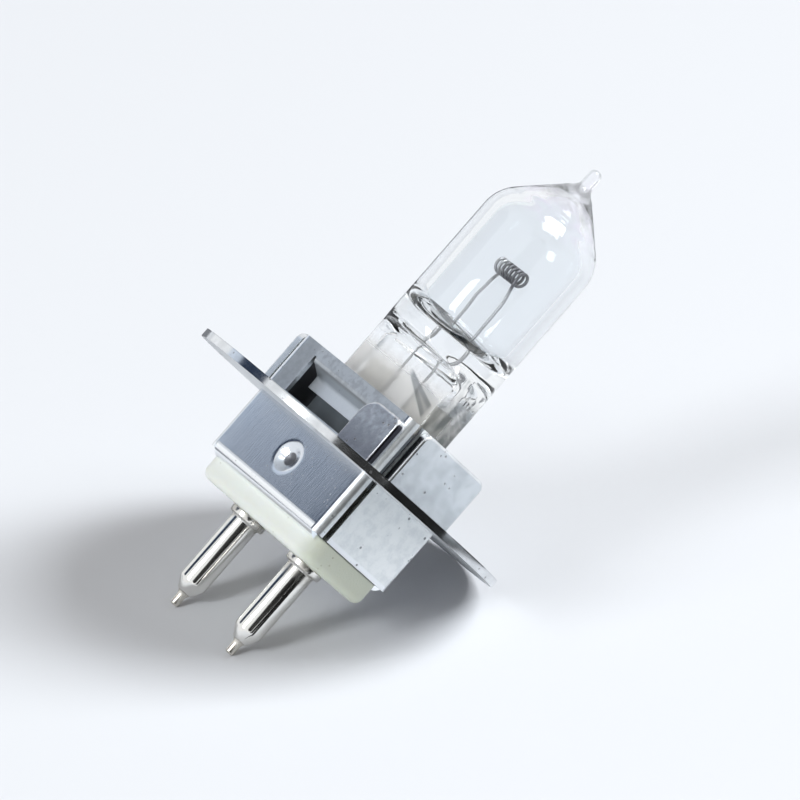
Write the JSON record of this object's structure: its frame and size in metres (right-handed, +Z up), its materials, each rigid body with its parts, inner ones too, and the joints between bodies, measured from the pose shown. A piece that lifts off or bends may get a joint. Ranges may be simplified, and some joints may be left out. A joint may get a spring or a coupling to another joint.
{
  "type": "halogen lamp",
  "caption": "Low-voltage halogen capsule lamp: clear quartz bulb with a coiled filament, folded metal sleeve, round centring flange, ceramic base and contact pins.",
  "frame": {"origin": "centre of the bounding box, on the surface that the lamp lies on", "axes": "+Z up, +X along the line through both pins, +Y the way the bulb leans and points; the lamp rests on both wire tips and the back of the flange rim"},
  "size_m": [0.022, 0.0266, 0.0228],
  "materials": {
    "quartz": "clear fused quartz",
    "tungsten": "dark drawn tungsten wire",
    "molybdenum": "bright etched foil",
    "wire": "drawn nickel-plated wire",
    "ceramic": "pressed cream steatite, matt",
    "bright_sheet": "bright nickel-plated sheet",
    "flange_sheet": "satin nickel-plated sheet",
    "nickel": "polished nickel-plated pin"
  },
  "bodies": {
    "root": {"bulb_glass": "quartz", "filament": "tungsten", "ceramic_base": "ceramic", "sleeve": "bright_sheet", "flange_disc": "flange_sheet", "left_seal_foil": "molybdenum", "right_seal_foil": "molybdenum", "left_lead_wire": "wire", "right_lead_wire": "wire", "left_contact_pin": "nickel", "right_contact_pin": "nickel"}
  },
  "joints": []
}
